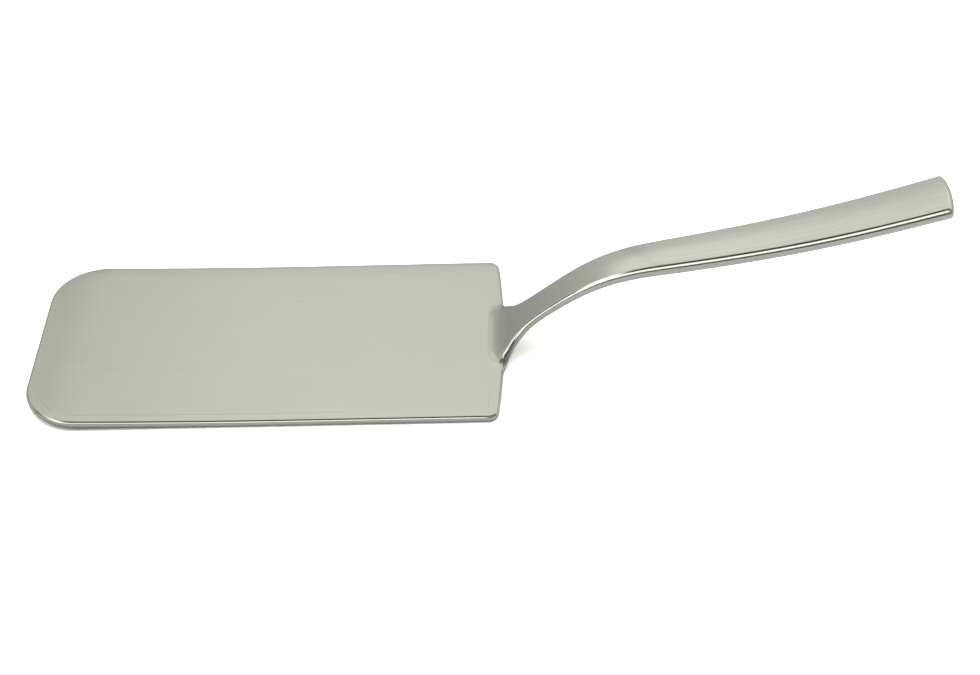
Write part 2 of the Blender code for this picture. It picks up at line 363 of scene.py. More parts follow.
def lay_side(skin, side, top, inner, marks, toe_row):
    """One flat side of the blank, 0 the top and 1 the underside; gives its border's vertices."""
    points, faces, pieces = top
    laid = [skin.vertex(s, y, side) for s, y in points]
    for corners, piece in zip(faces, pieces):
        skin.face([laid[c] for c in (corners if side == 0 else reversed(corners))], piece)
    tree = nearest_finder(points)
    row = [laid[tree.find((s, y, 0.0))[1]] for s, y in toe_row]
    half_count, last = len(inner) // 2, len(inner) - 1
    border = []
    for i, (s, y) in enumerate(inner):
        on_handle = marks["toe"] < i < last - marks["toe"]
        border.append(skin.vertex(s, y, side) if on_handle else laid[tree.find((s, y, 0.0))[1]])
    for i in range(marks["toe"] + 1, half_count - 1):
        s, y = inner[i]
        middle = [skin.vertex(s, y * (1 - 2 * j / COLUMNS), side) for j in range(1, COLUMNS)]
        after = [border[i]] + middle + [border[last - i]]
        for a, b, c, d in zip(row, row[1:], after[1:], after):
            skin.face([a, b, c, d] if side == 0 else [d, c, b, a], HANDLE)
        row = after
    end = row + [border[half_count], border[half_count - 1]]
    skin.face(end if side == 0 else end[::-1], HANDLE)
    return border


def round_edge(skin, outline, normals, marks, borders):
    """The edge between the two flat sides, rounded above and below like half an ellipse."""
    ground = [ground_share(s, y) if y < 0 else 0.0 for s, y in outline]
    upper_insets = [rim_inset(s) + GROUND_RIM_MORE * share for (s, y), share in zip(outline, ground)]
    rings = [borders[0]]
    for side in (0, 1):
        steps = range(1, RIM_STEPS + 1) if side == 0 else range(RIM_STEPS, 0, -1)
        for step in steps:
            share = step / RIM_STEPS
            sine = math.sin(math.pi / 2 * share)
            cosine = math.cos(math.pi / 2 * share)
            ring = []
            for (s, y), (ns, ny), reach, how_ground in zip(outline, normals, upper_insets, ground):
                flat = GROUND_FLAT_SHARE * how_ground
                across = reach if side == 0 else LOWER_RIM_INSET
                inset = across * (1 - sine + (sine - share) * flat)
                height = RIM_HEIGHT_SHARE * thickness_at(s)
                rounding = height * (1 - cosine + (share - 1 + cosine) * flat)
                if side == 1:
                    rounding = -rounding
                ring.append(skin.vertex(s - ns * inset, y - ny * inset, side, rounding, share))
            rings.append(ring)
    rings.append(borders[1])
    last = len(outline) - 1
    for upper, lower in zip(rings, rings[1:]):
        for i in range(len(outline)):
            j = (i + 1) % len(outline)
            along = min(i, last - 1 - i) if i < last else 0
            piece = BLADE if along < marks["seam"] else WELD if along < marks["toe"] else HANDLE
            skin.face([upper[i], upper[j], lower[j], lower[i]], piece)


def draw_blank():
    """The whole server in the flat: its skin's faces, each with its piece."""
    half, marks = blank_outline()
    outline = mirrored(half)
    normals = outward_normals(outline)
    inner = []
    for (s, y), (ns, ny) in zip(outline, normals):
        inset = rim_inset(s) + GROUND_RIM_MORE * ground_share(s, y)
        inner.append((s - ns * inset, y - ny * inset))
    toe_s, toe_y = inner[marks["toe"]]
    toe_row = [(toe_s, toe_y * (1 - 2 * j / COLUMNS)) for j in range(COLUMNS + 1)]
    top = top_surface(inner, marks, toe_row)
    skin = Skin()
    borders = [lay_side(skin, side, top, inner, marks, toe_row) for side in (0, 1)]
    round_edge(skin, outline, normals, marks, borders)
    return skin


def blank_mesh(skin):
    """The skin as a mesh, with attributes that the bending and the steel read."""
    mesh = bpy.data.meshes.new("server_blank")
    half, marks = blank_outline()
    border = nearest_finder(mirrored(half))
    places = []
    values = {"depth": [], "lift": [], "inside": [], "edge": skin.edges}
    for s, y, side, rounding in skin.points:
        places.append((FOOT_FRONT_X + s, y, BLADE_THICKNESS * (1 - side) - rounding))
        lift = ease((flank_half(s) + FOOT_SPREAD - abs(y)) / FOOT_BLEND) if s > 0 else 0.0
        across = min(abs(y) / half_width(max(s, FOOT_REAR_RUN)), 1.0)
        crown = CROWN_HEIGHT * ease((s - CROWN_START) / CROWN_RUN) * (1 - across * across)
        values["depth"].append(side * thickness_at(s) + rounding - crown * (1 - side))
        values["lift"].append(lift)
        values["inside"].append(border.find((s, y, 0.0))[2])
    mesh.from_pydata(places, [], skin.faces)
    for name, numbers in values.items():
        mesh.attributes.new(name, "FLOAT", "POINT").data.foreach_set("value", numbers)
    mesh.attributes.new("piece", "INT", "FACE").data.foreach_set("value", skin.pieces)
    flat = mesh.uv_layers.new(name="flat")
    for loop, corner in zip(mesh.loops, flat.data):
        corner.uv = skin.points[loop.vertex_index][:2]
    return mesh


def add_node(tree, kind, links=None, **settings):
    """Adds a node, sets it up and joins or sets its inputs."""
    item = tree.nodes.new(kind)
    for name, value in settings.items():
        setattr(item, name, value)
    for socket, value in (links or {}).items():
        if isinstance(value, bpy.types.NodeSocket):
            tree.links.new(value, item.inputs[socket])
        else:
            item.inputs[socket].default_value = value
    return item


def top_line_guide():
    """The handle's top line as a curve, from the foot's front to the handle's end."""
    curve = bpy.data.curves.new("top_line", "CURVE")
    curve.dimensions = "3D"
    line = curve.splines.new("POLY")
    line.points.add(PATH_STEPS)
    step = HANDLE_RUN / PATH_STEPS
    x, z = FOOT_FRONT_X, BLADE_THICKNESS
    for i, point in enumerate(line.points):
        point.co = (x, 0.0, z, 1.0)
        slope = slope_at(step * (i + 0.5))
        x += step * math.cos(slope)
        z += step * math.sin(slope)
    guide = bpy.data.objects.new("top_line", curve)
    bpy.context.scene.collection.objects.link(guide)
    return guide


BEND_INPUTS = (
    ("Top Line", "NodeSocketObject", None),
    ("Foot Front", "NodeSocketFloat", FOOT_FRONT_X),
    ("Nose Start", "NodeSocketFloat", REAR_EDGE_X - BLADE_FLAT_RUN),
    ("Nose End", "NodeSocketFloat", REAR_EDGE_X - BLADE_LENGTH),
    ("Nose Lift", "NodeSocketFloat", NOSE_LIFT),
    ("Steel", "NodeSocketMaterial", None),
)


def bending_tree():
    """Geometry Nodes that bend the blank along the top line and curve its nose up."""
    tree = bpy.data.node_groups.new("bend_server_blank", "GeometryNodeTree")
    tree.interface.new_socket("Geometry", in_out="INPUT", socket_type="NodeSocketGeometry")
    for name, kind, value in BEND_INPUTS:
        socket = tree.interface.new_socket(name, in_out="INPUT", socket_type=kind)
        if value is not None:
            socket.default_value = value
    tree.interface.new_socket("Geometry", in_out="OUTPUT", socket_type="NodeSocketGeometry")

    given = add_node(tree, "NodeGroupInput").outputs
    unbent = add_node(tree, "GeometryNodeInputPosition").outputs[0]
    place = add_node(tree, "ShaderNodeSeparateXYZ", {0: unbent}).outputs
    stored = {}
    for name in ("depth", "lift"):
        item = add_node(tree, "GeometryNodeInputNamedAttribute", {"Name": name}, data_type="FLOAT")
        stored[name] = item.outputs["Attribute"]

    run = add_node(tree, "ShaderNodeMath", {0: place["X"], 1: given["Foot Front"]},
                   operation="SUBTRACT").outputs[0]
    guide = add_node(tree, "GeometryNodeObjectInfo", {"Object": given["Top Line"]},
                     transform_space="ORIGINAL")
    line = add_node(tree, "GeometryNodeSampleCurve",
                    {"Curves": guide.outputs["Geometry"], "Length": run},
                    mode="LENGTH", use_all_curves=True).outputs
    tangent = add_node(tree, "ShaderNodeSeparateXYZ", {0: line["Tangent"]}).outputs
    forward = add_node(tree, "ShaderNodeMath", {0: tangent["Z"], 1: stored["depth"]},
                       operation="MULTIPLY").outputs[0]
    upward = add_node(tree, "ShaderNodeMath", {0: tangent["X"], 1: stored["depth"]},
                      operation="MULTIPLY").outputs[0]
    downward = add_node(tree, "ShaderNodeMath", {0: upward, 1: -1.0},
                        operation="MULTIPLY").outputs[0]
    inward = add_node(tree, "ShaderNodeCombineXYZ", {"X": forward, "Y": place["Y"], "Z": downward})
    bent = add_node(tree, "ShaderNodeVectorMath", {0: line["Position"], 1: inward.outputs[0]},
                    operation="ADD").outputs[0]
    formed = add_node(tree, "ShaderNodeMix", {"Factor": stored["lift"], 4: unbent, 5: bent},
                      data_type="VECTOR").outputs[1]

    to_nose = add_node(tree, "ShaderNodeMapRange",
                       {"Value": place["X"], "From Min": given["Nose Start"],
                        "From Max": given["Nose End"]}).outputs[0]
    raised = add_node(tree, "ShaderNodeMath", {0: to_nose, 1: 2.0}, operation="POWER").outputs[0]
    raised = add_node(tree, "ShaderNodeMath", {0: raised, 1: given["Nose Lift"]},
                      operation="MULTIPLY").outputs[0]
    raised = add_node(tree, "ShaderNodeCombineXYZ", {"Z": raised}).outputs[0]
    shaped = add_node(tree, "GeometryNodeSetPosition",
                      {"Geometry": given["Geometry"], "Position": formed, "Offset": raised})
    smooth = add_node(tree, "GeometryNodeSetShadeSmooth", {"Geometry": shaped.outputs[0]})
    whole = add_node(tree, "GeometryNodeRealizeInstances", {0: smooth.outputs[0]})
    coated = add_node(tree, "GeometryNodeSetMaterial",
                      {"Geometry": whole.outputs[0], "Material": given["Steel"]})
    add_node(tree, "NodeGroupOutput", {"Geometry": coated.outputs[0]})
    return tree


def bend_blank(mesh, steel):
    """Bends the blank by its nodes and returns the result as a plain mesh."""
    blank = bpy.data.objects.new("server_blank", mesh)
    bpy.context.scene.collection.objects.link(blank)
    guide = top_line_guide()
    tree = bending_tree()
    bending = blank.modifiers.new("bend", "NODES")
    bending.node_group = tree
    sockets = {item.name: item.identifier for item in tree.interface.items_tree
               if item.in_out == "INPUT"}
    bending[sockets["Top Line"]] = guide
    bending[sockets["Steel"]] = steel
    bpy.context.view_layer.update()
    formed = bpy.data.meshes.new_from_object(
        blank.evaluated_get(bpy.context.evaluated_depsgraph_get()))
    blank.modifiers.remove(bending)
    for item in (blank, guide):
        bpy.data.objects.remove(item, do_unlink=True)
    return formed


def merge_key(s, y, side):
    """What points at the same flat place and on the same side share."""
    return round(s, MERGE_DIGITS), round(y, MERGE_DIGITS), side


def seam_walls(bm, skin, origin):
    """Closes a piece where it was cut from its neighbours, from its top to its underside."""
    on_side = {}
    for vertex in bm.verts:
        s, y, side, rounding = skin.points[vertex[origin]]
        if rounding == 0.0:
            on_side[merge_key(s, y, side)] = vertex
    walls = []
    for edge in [e for e in bm.edges if e.is_boundary]:
        ends = [skin.points[v[origin]] for v in edge.verts]
        if all(side == 0 and rounding == 0.0 for s, y, side, rounding in ends):
            below = [on_side[merge_key(s, y, 1)] for s, y, side, rounding in ends]
            walls.append(bm.faces.new((edge.verts[0], edge.verts[1], below[1], below[0])))
    ends_of_seams = [e for e in bm.edges if e.is_boundary]
    walls += bmesh.ops.holes_fill(bm, edges=ends_of_seams, sides=0)["faces"]
    return walls


def part_skin(formed, skin, piece, name, steel):
    """One piece of the formed skin, closed along its seams, with the whole skin's shading."""
    bm = bmesh.new()
    bm.from_mesh(formed)
    inner_wall = bm.faces.layers.int.new("inner_wall")
    origin = bm.verts.layers.int.new("origin")
    bm.verts.ensure_lookup_table()
    for vertex in bm.verts:
        vertex[origin] = vertex.index
    piece_of = bm.faces.layers.int["piece"]
    others = [face for face in bm.faces if face[piece_of] != piece]
    bmesh.ops.delete(bm, geom=others, context="FACES")
    walls = seam_walls(bm, skin, origin)
    bmesh.ops.recalc_face_normals(bm, faces=bm.faces[:])
    for face in walls:
        face[inner_wall] = 1
    mesh = bpy.data.meshes.new(name)
    bm.to_mesh(mesh)
    bm.free()

    origins = [0] * len(mesh.vertices)
    mesh.attributes["origin"].data.foreach_get("value", origins)
    walled = [0] * len(mesh.polygons)
    mesh.attributes["inner_wall"].data.foreach_get("value", walled)
    normals = []
    for face in mesh.polygons:
        for i in face.vertices:
            normals.append(face.normal if walled[face.index] else formed.vertices[origins[i]].normal)
    mesh.shade_smooth()
    mesh.normals_split_custom_set(normals)
    for extra in ("origin", "inner_wall", "piece", "depth", "lift"):
        mesh.attributes.remove(mesh.attributes[extra])
    mesh.materials.clear()
    mesh.materials.append(steel)
    item = bpy.data.objects.new(name, mesh)
    bpy.context.scene.collection.objects.link(item)
    return item


def srgb(code):
    """Linear colour from a hex sRGB code."""
    parts = [int(code[i:i + 2], 16) / 255 for i in (0, 2, 4)]
    return tuple(c / 12.92 if c <= 0.04045 else ((c + 0.055) / 1.055) ** 2.4 for c in parts)


# Tones of the steel; the handle's lighter tone is painted light
BLADE_TONE = "C5C7BA"
HANDLE_PAINTED_LIGHT_TONE = "D1D3C6"
HANDLE_TONE_START = 0.010       # run where the blade's tone begins to turn into the handle's
HANDLE_TONE_END = 0.040

# Marks of the steel: length along the server, pitch across it, and detail. True
# polish lines are finer than the picture can show, so they are drawn coarser.
STREAKS = {
    "fine": (0.030, 0.00070, 2.0),
    "broad": (0.045, 0.0016, 3.0),
    "smudge": (0.022, 0.012, 3.0),
    "hair": (0.060, 0.0030, 0.0),
}
STREAK_MEAN = 0.5
EDGE_SPREAD = 0.0020            # the side's height, laid out flat
MARKS_ON_BLADE = 0.03           # how far the lines change the shade
MARKS_ON_HANDLE = 0.12
HAIR_BAND = 0.012               # a hairline runs where its streaks are this close to their mean
HAIR_PATCH = (0.50, 0.58)       # smudge levels between which hairlines come in
HAIR_CUT = 1.5                  # times as deep as a polish line
POLISH_DEPTH = 0.0000007
WAVE_DEPTH = 0.000040

# Gloss, by how smudged the steel is
SMUDGE_RANGE = (0.3, 0.7)
WIPED_ROUGHNESS = 0.09
SMUDGED_ROUGHNESS = 0.15
LINE_ROUGHNESS = 0.05
WELD_DULLNESS = 0.03            # ground weld metal is a little rougher than the rest

# The blade's face falls away towards its edges
ROLL_WIDTH = 0.0060
ROLL_SLOPE = 0.040
# Painted shade: a faint patchy dark line this far inside the blade's -Y edge
PAINTED_SHADE_LINE = 0.0034
PAINTED_SHADE_LINE_WIDTH = 0.0003
PAINTED_SHADE_LINE_DARKENING = 0.12
PAINTED_SHADE_LINE_SIDE = (-0.026, -0.022)
PAINTED_SHADE_LINE_PATCH = (0.46, 0.54)
# Painted shade: the blade is darkened towards its front edge
TIP_SHADE_RUN = 0.020
TIP_PAINTED_SHADE = 0.84
# Painted shade: a dark spot in the corner beside the weld
CORNER_SHADE_PLACE = (0.0051, -0.0126, 0.0)
CORNER_SHADE_CORE = 0.0004
CORNER_SHADE_REACH = 0.0012
CORNER_PAINTED_SHADE = 0.25
# Painted shade: the flat of the side is darker than the rounding above it
SIDE_START_SHARE = 0.72         # of the turn from the face down to the side
SIDE_FULL_SHARE = 0.86
SIDE_PAINTED_SHADE = 0.85


def polish_marks(tree):
    """What the steel's shade, gloss and relief all read: places on it and marks of polishing."""
    place = add_node(tree, "ShaderNodeSeparateXYZ",
                     {0: add_node(tree, "ShaderNodeUVMap", uv_map="flat").outputs[0]}).outputs
    edge = add_node(tree, "ShaderNodeAttribute", attribute_name="edge").outputs["Fac"]
    inside_edge = add_node(tree, "ShaderNodeAttribute", attribute_name="inside").outputs["Fac"]
    around = add_node(tree, "ShaderNodeMath", {0: edge, 1: EDGE_SPREAD}, operation="MULTIPLY")
    flat = add_node(tree, "ShaderNodeCombineXYZ",
                    {0: place[0], 1: place[1], 2: around.outputs[0]}).outputs[0]
    steel = {"run": place[0], "across": place[1], "edge": edge, "inside": inside_edge}
    for name, (length, pitch, detail) in STREAKS.items():
        drawn_out = add_node(tree, "ShaderNodeMapping",
                             {"Vector": flat, "Scale": (1 / length, 1 / pitch, 1 / pitch)})
        steel[name] = add_node(tree, "ShaderNodeTexNoise",
                               {"Vector": drawn_out.outputs[0], "Scale": 1.0,
                                "Detail": detail}).outputs[0]

    off_mean = add_node(tree, "ShaderNodeMath", {0: steel["hair"], 1: STREAK_MEAN},
                        operation="SUBTRACT")
    off_mean = add_node(tree, "ShaderNodeMath", {0: off_mean.outputs[0]}, operation="ABSOLUTE")
    hair = add_node(tree, "ShaderNodeMapRange",
                    {"Value": off_mean.outputs[0], "From Min": 0.0, "From Max": HAIR_BAND,
                     "To Min": 1.0, "To Max": 0.0})
    where = add_node(tree, "ShaderNodeMapRange",
                     {"Value": steel["smudge"], "From Min": HAIR_PATCH[0], "From Max": HAIR_PATCH[1]})
    steel["hair"] = add_node(tree, "ShaderNodeMath", {0: hair.outputs[0], 1: where.outputs[0]},
                             operation="MULTIPLY").outputs[0]
    steel["on_handle"] = add_node(tree, "ShaderNodeMapRange",
                                  {"Value": steel["run"], "From Min": HANDLE_TONE_START,
                                   "From Max": HANDLE_TONE_END},
                                  interpolation_type="SMOOTHSTEP").outputs[0]
    steel["on_blade"] = add_node(tree, "ShaderNodeMath", {0: 1.0, 1: steel["on_handle"]},
                                 operation="SUBTRACT").outputs[0]
    return steel


def painted_shade_line(tree, steel):
    """A faint painted shade line, dark, along the blade's -Y edge."""
    off_line = add_node(tree, "ShaderNodeMath", {0: steel["inside"], 1: PAINTED_SHADE_LINE},
                        operation="SUBTRACT")
    off_line = add_node(tree, "ShaderNodeMath", {0: off_line.outputs[0]}, operation="ABSOLUTE")
    line = add_node(tree, "ShaderNodeMapRange",
                    {"Value": off_line.outputs[0], "From Min": 0.0, "From Max": PAINTED_SHADE_LINE_WIDTH,
                     "To Min": -PAINTED_SHADE_LINE_DARKENING, "To Max": 0.0}).outputs[0]
    near_side = add_node(tree, "ShaderNodeMapRange",
                         {"Value": steel["across"], "From Min": PAINTED_SHADE_LINE_SIDE[0],
                          "From Max": PAINTED_SHADE_LINE_SIDE[1], "To Min": 1.0, "To Max": 0.0}).outputs[0]
    patchy = add_node(tree, "ShaderNodeMapRange",
                      {"Value": steel["broad"], "From Min": PAINTED_SHADE_LINE_PATCH[0],
                       "From Max": PAINTED_SHADE_LINE_PATCH[1]}).outputs[0]
    for share in (near_side, patchy, steel["on_blade"]):
        line = add_node(tree, "ShaderNodeMath", {0: line, 1: share}, operation="MULTIPLY").outputs[0]
    return line


def steel_colour(tree, steel):
    """The steel's tone, shaded by its lines, with the handle's tone painted lighter and painted shade
    towards the front, along the -Y edge, in the corner beside the weld and on the sides.
    """
    # Painted light: the handle's tone is lighter than the blade's
    tone = add_node(tree, "ShaderNodeMix",
                    {"Factor": steel["on_handle"], 6: (*srgb(BLADE_TONE), 1.0),
                     7: (*srgb(HANDLE_PAINTED_LIGHT_TONE), 1.0)}, data_type="RGBA").outputs[2]
    lines = add_node(tree, "ShaderNodeMath", {0: steel["broad"], 1: steel["fine"]},
                     operation="ADD").outputs[0]
    lines = add_node(tree, "ShaderNodeMath", {0: lines, 1: 2 * STREAK_MEAN},
                     operation="SUBTRACT").outputs[0]
    visible = add_node(tree, "ShaderNodeMapRange",
                       {"Value": steel["on_handle"], "To Min": MARKS_ON_BLADE,
                        "To Max": MARKS_ON_HANDLE}).outputs[0]
    shade = add_node(tree, "ShaderNodeMath", {0: lines, 1: visible, 2: 1.0},
                     operation="MULTIPLY_ADD").outputs[0]
    shade = add_node(tree, "ShaderNodeMath", {0: steel["hair"], 1: visible, 2: shade},
                     operation="MULTIPLY_ADD").outputs[0]
    # Painted shade line along the blade's -Y edge
    shade = add_node(tree, "ShaderNodeMath", {0: shade, 1: painted_shade_line(tree, steel)},
                     operation="ADD").outputs[0]

    # Painted shade, darker towards the blade's front edge
    tip = add_node(tree, "ShaderNodeMapRange",
                   {"Value": steel["run"], "From Min": BLADE_FRONT_RUN,
                    "From Max": BLADE_FRONT_RUN + TIP_SHADE_RUN, "To Min": TIP_PAINTED_SHADE,
                    "To Max": 1.0}, interpolation_type="SMOOTHSTEP").outputs[0]
    # Painted shade: a dark spot in the corner beside the weld
    on_face = add_node(tree, "ShaderNodeCombineXYZ", {0: steel["run"], 1: steel["across"]})
    from_corner_shade = add_node(tree, "ShaderNodeVectorMath", {0: on_face.outputs[0], 1: CORNER_SHADE_PLACE},
                          operation="DISTANCE").outputs["Value"]
    corner_shade = add_node(tree, "ShaderNodeMapRange",
                     {"Value": from_corner_shade, "From Min": CORNER_SHADE_CORE, "From Max": CORNER_SHADE_REACH,
                      "To Min": CORNER_PAINTED_SHADE, "To Max": 1.0},
                     interpolation_type="SMOOTHSTEP").outputs[0]
    # Painted shade on the flat of the side
    side = add_node(tree, "ShaderNodeMapRange",
                    {"Value": steel["edge"], "From Min": SIDE_START_SHARE,
                     "From Max": SIDE_FULL_SHARE, "To Min": 1.0, "To Max": SIDE_PAINTED_SHADE}).outputs[0]
    for share in (tip, corner_shade, side):
        shade = add_node(tree, "ShaderNodeMath", {0: shade, 1: share},
                         operation="MULTIPLY").outputs[0]
    return add_node(tree, "ShaderNodeVectorMath", {0: tone, "Scale": shade},
                    operation="SCALE").outputs[0]


def steel_roughness(tree, steel, dullness):
    """Glossy where wiped, duller where smudged and along the polish lines."""
    rough = add_node(tree, "ShaderNodeMapRange",
                     {"Value": steel["smudge"], "From Min": SMUDGE_RANGE[0],
                      "From Max": SMUDGE_RANGE[1], "To Min": WIPED_ROUGHNESS + dullness,
                      "To Max": SMUDGED_ROUGHNESS + dullness}).outputs[0]
    return add_node(tree, "ShaderNodeMath", {0: steel["fine"], 1: LINE_ROUGHNESS, 2: rough},
                    operation="MULTIPLY_ADD").outputs[0]


def steel_relief(tree, steel):
    """The blade's fall towards its edges, soft waves of the sheet, and polish lines."""
    near_edge = add_node(tree, "ShaderNodeMath", {0: ROLL_WIDTH, 1: steel["inside"]},
                         operation="SUBTRACT")
    near_edge = add_node(tree, "ShaderNodeMath", {0: near_edge.outputs[0], 1: 0.0},
                         operation="MAXIMUM")
    fall = add_node(tree, "ShaderNodeMath", {0: near_edge.outputs[0], 1: 2.0}, operation="POWER")
    fall = add_node(tree, "ShaderNodeMath", {0: fall.outputs[0], 1: steel["on_blade"]},
                    operation="MULTIPLY")
    rolled = add_node(tree, "ShaderNodeBump",
                      {"Height": fall.outputs[0], "Distance": -ROLL_SLOPE / (2 * ROLL_WIDTH),
                       "Strength": 1.0})
    waves = add_node(tree, "ShaderNodeBump",
                     {"Height": steel["smudge"], "Distance": WAVE_DEPTH, "Strength": 1.0,
                      "Normal": rolled.outputs[0]})
    lines = add_node(tree, "ShaderNodeMath", {0: steel["hair"], 1: -HAIR_CUT, 2: steel["fine"]},
                     operation="MULTIPLY_ADD")
    return add_node(tree, "ShaderNodeBump",
                    {"Height": lines.outputs[0], "Distance": POLISH_DEPTH, "Strength": 1.0,
                     "Normal": waves.outputs[0]}).outputs[0]


def polished_stainless(name, dullness):
    """Polished stainless steel: what the eye gets from it is the studio in long soft bands,
    broken by lengthwise polish lines, a few hairlines and wiped smudges."""
    material = bpy.data.materials.new(name)
    material.use_nodes = True
    tree = material.node_tree
    shader = tree.nodes["Principled BSDF"]
    shader.inputs["Metallic"].default_value = 1.0
    steel = polish_marks(tree)
    tree.links.new(steel_colour(tree, steel), shader.inputs["Base Color"])
    tree.links.new(steel_roughness(tree, steel, dullness), shader.inputs["Roughness"])
    tree.links.new(steel_relief(tree, steel), shader.inputs["Normal"])
    return material


# Studio that the steel mirrors: light level by direction, in degrees from the rear
# horizon over the top to the front horizon
STUDIO_REAR = ((0, 0.63), (8, 0.65), (20, 0.68), (28, 0.72))
STUDIO_TOP = STUDIO_REAR + ((35, 0.87), (40, 1.01), (48, 1.06), (58, 1.0), (74, 0.90), (80, 0.40))
# A lamp box over the front draws the white line along the edges
STUDIO_MIDDLE = STUDIO_TOP + ((88, 0.30), (92, 0.05), (133, 0.05), (137, 1.85), (166, 1.85),
                              (170, 0.12), (180, 0.12))
# To the right that box ends
STUDIO_RIGHT = STUDIO_TOP + ((88, 0.34), (92, 0.26), (130, 0.30), (180, 0.45))
LAMP_END = 0.0                  # sideways part of the direction where it ends
LAMP_FADE = 0.06
# To the left a larger and brighter box reaches from overhead down the front
STUDIO_LEFT = STUDIO_REAR + ((45, 0.78), (64, 0.86), (76, 1.2), (86, 2.6), (166, 2.6),
                             (175, 0.4), (180, 0.4))
LEFT_START = 0.38               # where it begins, is full, fades and ends
LEFT_FULL = 0.56
LEFT_FADE = 0.72
LEFT_END = 0.81
# Share of all that light by the sideways part of the direction: the left is dimmer
STUDIO_SIDES = (
    (-0.70, 0.74), (-0.58, 0.78), (-0.50, 0.84), (-0.40, 0.89), (-0.33, 0.92), (-0.28, 0.93),
    (-0.25, 0.89), (-0.21, 0.82), (-0.19, 0.84), (-0.15, 0.95), (-0.12, 1.0), (0.0, 0.97),
    (1.0, 0.95),
)
# Light that falls on the paper, from above and behind
LIGHT_LOW = 0.0
LIGHT_HIGH = 1.80
LIGHT_FRONT = 0.14              # what is left of it from the front
LIGHT_FRONT_SIDE = -0.5         # front-to-rear part of the direction: front, and full light
LIGHT_FULL_SIDE = 0.1


def levels_along(tree, value, reach, stops):
    """Grey levels along a value; each stop is a place from -reach to reach and its level."""
    share = add_node(tree, "ShaderNodeMapRange",
                     {"Value": value, "From Min": -reach, "From Max": reach}).outputs[0]
    ramp = add_node(tree, "ShaderNodeValToRGB", {"Fac": share})
    elements = ramp.color_ramp.elements
    elements.remove(elements[-1])
    for i, (place, level) in enumerate(stops):
        position = place / (2 * reach) + 0.5
        stop = elements[0] if i == 0 else elements.new(position)
        stop.position = position
        stop.color = (level, level, level, 1.0)
    return ramp.outputs["Color"]


def looking_share(tree, rays, glossy_share):
    """1 for the rays that see things as the eye does, and the share given for glossy ones."""
    looked = add_node(tree, "ShaderNodeMath",
                      {0: rays["Is Glossy Ray"], 1: glossy_share, 2: rays["Is Camera Ray"]},
                      operation="MULTIPLY_ADD")
    return add_node(tree, "ShaderNodeMath", {0: looked.outputs[0], 1: rays["Is Transmission Ray"]},
                    operation="ADD", use_clamp=True).outputs[0]


def studio_seen(tree, direction):
    """The studio's bands of light as the steel mirrors them."""
    turn = add_node(tree, "ShaderNodeMath", {0: direction["Z"], 1: direction["Y"]},
                    operation="ARCTAN2")
    turn = add_node(tree, "ShaderNodeMath", {0: turn.outputs[0]}, operation="DEGREES").outputs[0]
    middle, left, right = [levels_along(tree, turn, 180, stops)
                           for stops in (STUDIO_MIDDLE, STUDIO_LEFT, STUDIO_RIGHT)]
    begun = add_node(tree, "ShaderNodeMapRange",
                     {"Value": direction["X"], "From Min": -LEFT_FULL, "From Max": -LEFT_START,
                      "To Min": 1.0, "To Max": 0.0}, interpolation_type="SMOOTHSTEP")
    not_ended = add_node(tree, "ShaderNodeMapRange",
                         {"Value": direction["X"], "From Min": -LEFT_END, "From Max": -LEFT_FADE},
                         interpolation_type="SMOOTHSTEP")
    leftness = add_node(tree, "ShaderNodeMath", {0: begun.outputs[0], 1: not_ended.outputs[0]},
                        operation="MULTIPLY").outputs[0]
    rightness = add_node(tree, "ShaderNodeMapRange",
                         {"Value": direction["X"], "From Min": LAMP_END,
                          "From Max": LAMP_END + LAMP_FADE},
                         interpolation_type="SMOOTHSTEP").outputs[0]
    bands = add_node(tree, "ShaderNodeMix", {"Factor": leftness, 2: middle, 3: left},
                     data_type="FLOAT").outputs[0]
    bands = add_node(tree, "ShaderNodeMix", {"Factor": rightness, 2: bands, 3: right},
                     data_type="FLOAT").outputs[0]
    sides = levels_along(tree, direction["X"], 1, STUDIO_SIDES)
    return add_node(tree, "ShaderNodeMath", {0: bands, 1: sides}, operation="MULTIPLY").outputs[0]


def light_cast(tree, direction):
    """The soft light that the studio casts on the paper."""
    light = add_node(tree, "ShaderNodeMapRange",
                     {"Value": direction["Z"], "To Min": LIGHT_LOW, "To Max": LIGHT_HIGH})
    behind = add_node(tree, "ShaderNodeMapRange",
                      {"Value": direction["Y"], "From Min": LIGHT_FRONT_SIDE,
                       "From Max": LIGHT_FULL_SIDE, "To Min": LIGHT_FRONT, "To Max": 1.0},
                      interpolation_type="SMOOTHSTEP")
    return add_node(tree, "ShaderNodeMath", {0: light.outputs[0], 1: behind.outputs[0]},
                    operation="MULTIPLY").outputs[0]


def build_world():
    """The studio: one light for the rays that look at it, another for those that it lights."""
    world = bpy.data.worlds.new("studio")
    bpy.context.scene.world = world
    world.use_nodes = True
    tree = world.node_tree
    tree.nodes.clear()
    generated = add_node(tree, "ShaderNodeTexCoord").outputs["Generated"]
    direction = add_node(tree, "ShaderNodeSeparateXYZ", {0: generated}).outputs
    rays = add_node(tree, "ShaderNodeLightPath").outputs
    strength = add_node(tree, "ShaderNodeMix",
                        {"Factor": looking_share(tree, rays, 1.0), 2: light_cast(tree, direction),
                         3: studio_seen(tree, direction)}, data_type="FLOAT").outputs[0]
    shine = add_node(tree, "ShaderNodeBackground", {"Color": (1, 1, 1, 1), "Strength": strength})
    add_node(tree, "ShaderNodeOutputWorld", {"Surface": shine.outputs[0]})


FLOOR_HALF = 3.0
FLOOR_GREY = 0.66
FLOOR_WHITE = 2.7               # what the eye sees, so that the paper comes out white
FLOOR_IN_STEEL = 0.135          # share of that white which the steel shows
# The steel shows only the lit stretch of the paper: levels from the front to the rear
PAPER_REACH = 0.5
PAPER_LIT = ((-0.17, 0.1), (-0.14, 1.0), (0.02, 1.0), (0.045, 0.60))


